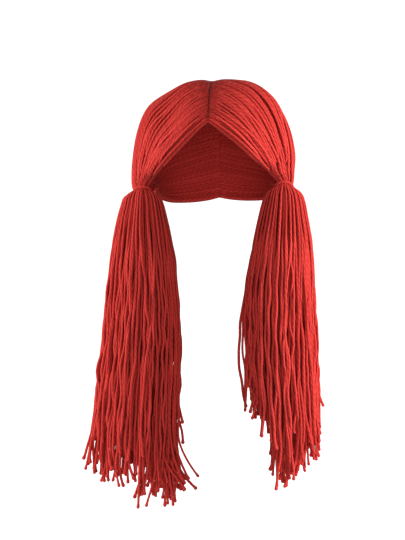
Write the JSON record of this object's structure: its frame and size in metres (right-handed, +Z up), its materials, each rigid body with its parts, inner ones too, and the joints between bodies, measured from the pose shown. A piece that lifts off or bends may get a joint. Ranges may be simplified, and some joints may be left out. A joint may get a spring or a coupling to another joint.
{
  "type": "yarn wig",
  "caption": "Soft yarn wig with a sewn centre part, sides drawn back to ties beside the ears, and long loose pigtails with uneven cut ends.",
  "frame": {"origin": "the spot on the inside of the crown that rests on the top of the wearer's head", "axes": "+Z up, the pigtails hang along -Z; -Y towards the face opening; +X to the wearer's left"},
  "size_m": [0.279, 0.1992, 0.5159],
  "materials": {
    "yarn": "matte plied yarn, bright red",
    "tie_yarn": "matte plied yarn, bright red, wound tight",
    "seam_thread": "matte sewn line, dark red"
  },
  "bodies": {
    "root": {"crown_left": "yarn", "crown_right": "yarn", "part_seam": "seam_thread", "tie_left": "tie_yarn", "tie_right": "tie_yarn", "pigtail_left": "yarn", "pigtail_right": "yarn"}
  },
  "joints": []
}
